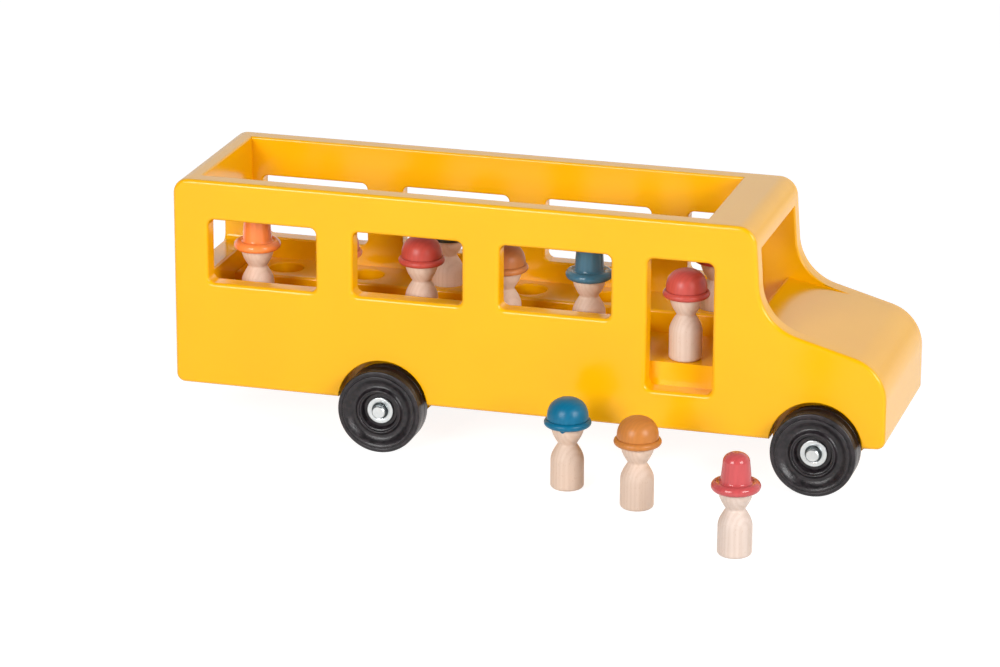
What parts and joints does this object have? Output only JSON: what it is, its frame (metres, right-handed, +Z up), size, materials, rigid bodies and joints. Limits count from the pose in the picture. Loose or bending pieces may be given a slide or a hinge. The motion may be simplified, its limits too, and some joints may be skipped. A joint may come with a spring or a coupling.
{
  "type": "toy bus",
  "caption": "Open-topped wooden toy bus on free-turning wheels, with drilled benches that hold lift-out peg figures in painted hats.",
  "frame": {"origin": "on the ground, under the middle of the box that holds the bus and its standing figures", "axes": "+X towards the bus's front along its length, +Z up; the door side and the standing figures face -Y"},
  "size_m": [0.5, 0.2861, 0.1801],
  "materials": {
    "yellow_enamelled_wood": "semi-gloss yellow enamel on rounded boards",
    "zinc_plated_steel": "bright zinc plate",
    "black_moulded_plastic": "satin black moulded plastic, lightly textured",
    "figure_orange_hat": "turned natural beech, sanded smooth, with the hat painted in a satin orange",
    "figure_coral_hat": "turned natural beech, sanded smooth, with the hat painted in a satin coral",
    "figure_red_hat": "turned natural beech, sanded smooth, with the hat painted in a satin red",
    "figure_brown_hat": "turned natural beech, sanded smooth, with the hat painted in a satin light brown",
    "figure_slate_hat": "turned natural beech, sanded smooth, with the hat painted in a satin slate blue",
    "figure_green_hat": "turned natural beech, sanded smooth, with the hat painted in a satin dark green",
    "figure_dark_red_hat": "turned natural beech, sanded smooth, with the hat painted in a satin dark red",
    "figure_blue_hat": "turned natural beech, sanded smooth, with the hat painted in a satin blue"
  },
  "bodies": {
    "bus": {"door_side_panel": "yellow_enamelled_wood", "driver_side_panel": "yellow_enamelled_wood", "rear_panel": "yellow_enamelled_wood", "nose_board": "yellow_enamelled_wood", "floor_board": "yellow_enamelled_wood", "door_side_bench": "yellow_enamelled_wood", "driver_side_bench": "yellow_enamelled_wood", "roof_header": "yellow_enamelled_wood", "bonnet_block": "yellow_enamelled_wood", "front_axle_block": "yellow_enamelled_wood", "rear_axle_block": "yellow_enamelled_wood", "front_block_screws": "zinc_plated_steel", "rear_block_screws": "zinc_plated_steel", "front_axle": "zinc_plated_steel", "rear_axle": "zinc_plated_steel", "front_door_side_washer": "zinc_plated_steel", "front_driver_side_washer": "zinc_plated_steel", "rear_door_side_washer": "zinc_plated_steel", "rear_driver_side_washer": "zinc_plated_steel", "front_door_side_push_nut": "zinc_plated_steel", "front_driver_side_push_nut": "zinc_plated_steel", "rear_door_side_push_nut": "zinc_plated_steel", "rear_driver_side_push_nut": "zinc_plated_steel"},
    "front_door_side_wheel": {"front_door_side_wheel": "black_moulded_plastic"},
    "front_driver_side_wheel": {"front_driver_side_wheel": "black_moulded_plastic"},
    "rear_door_side_wheel": {"rear_door_side_wheel": "black_moulded_plastic"},
    "rear_driver_side_wheel": {"rear_driver_side_wheel": "black_moulded_plastic"},
    "passenger_orange_top_hat": {"passenger_orange_top_hat": "figure_orange_hat"},
    "passenger_coral_cap": {"passenger_coral_cap": "figure_coral_hat"},
    "passenger_red_cap": {"passenger_red_cap": "figure_red_hat"},
    "passenger_brown_cap": {"passenger_brown_cap": "figure_brown_hat"},
    "passenger_slate_top_hat": {"passenger_slate_top_hat": "figure_slate_hat"},
    "passenger_green_cap": {"passenger_green_cap": "figure_green_hat"},
    "driver_red_cap": {"driver_red_cap": "figure_dark_red_hat"},
    "boarding_red_cap": {"boarding_red_cap": "figure_red_hat"},
    "standing_blue_cap": {"standing_blue_cap": "figure_blue_hat"},
    "standing_orange_cap": {"standing_orange_cap": "figure_orange_hat"},
    "standing_red_bell_hat": {"standing_red_bell_hat": "figure_red_hat"}
  },
  "joints": [
    {"name": "front_door_side_wheel_spin", "type": "hinge", "parent": "bus", "child": "front_door_side_wheel", "pos_m": [0.2035, 0.0004, 0.02925], "axis": [0, 1, 0], "continuous": true},
    {"name": "front_driver_side_wheel_spin", "type": "hinge", "parent": "bus", "child": "front_driver_side_wheel", "pos_m": [0.2035, 0.1325, 0.02925], "axis": [0, 1, 0], "continuous": true},
    {"name": "rear_door_side_wheel_spin", "type": "hinge", "parent": "bus", "child": "rear_door_side_wheel", "pos_m": [-0.0993, 0.0004, 0.02925], "axis": [0, 1, 0], "continuous": true},
    {"name": "rear_driver_side_wheel_spin", "type": "hinge", "parent": "bus", "child": "rear_driver_side_wheel", "pos_m": [-0.0993, 0.1325, 0.02925], "axis": [0, 1, 0], "continuous": true},
    {"name": "passenger_orange_top_hat_lift", "type": "slide", "parent": "bus", "child": "passenger_orange_top_hat", "axis": [0, 0, 1], "range_m": [0, 0.105]},
    {"name": "passenger_coral_cap_lift", "type": "slide", "parent": "bus", "child": "passenger_coral_cap", "axis": [0, 0, 1], "range_m": [0, 0.105]},
    {"name": "passenger_red_cap_lift", "type": "slide", "parent": "bus", "child": "passenger_red_cap", "axis": [0, 0, 1], "range_m": [0, 0.105]},
    {"name": "passenger_brown_cap_lift", "type": "slide", "parent": "bus", "child": "passenger_brown_cap", "axis": [0, 0, 1], "range_m": [0, 0.105]},
    {"name": "passenger_slate_top_hat_lift", "type": "slide", "parent": "bus", "child": "passenger_slate_top_hat", "axis": [0, 0, 1], "range_m": [0, 0.105]},
    {"name": "passenger_green_cap_lift", "type": "slide", "parent": "bus", "child": "passenger_green_cap", "axis": [0, 0, 1], "range_m": [0, 0.105]},
    {"name": "driver_red_cap_lift", "type": "slide", "parent": "bus", "child": "driver_red_cap", "axis": [0, 0, 1], "range_m": [0, 0.016]},
    {"name": "boarding_red_cap_step_out", "type": "slide", "parent": "bus", "child": "boarding_red_cap", "axis": [0, -1, 0], "range_m": [-0.031, 0.057]},
    {"name": "standing_blue_cap_lift", "type": "slide", "parent": "bus", "child": "standing_blue_cap", "axis": [0, 0, 1], "range_m": [0, 0.06]},
    {"name": "standing_orange_cap_lift", "type": "slide", "parent": "bus", "child": "standing_orange_cap", "axis": [0, 0, 1], "range_m": [0, 0.06]},
    {"name": "standing_red_bell_hat_lift", "type": "slide", "parent": "bus", "child": "standing_red_bell_hat", "axis": [0, 0, 1], "range_m": [0, 0.06]}
  ]
}
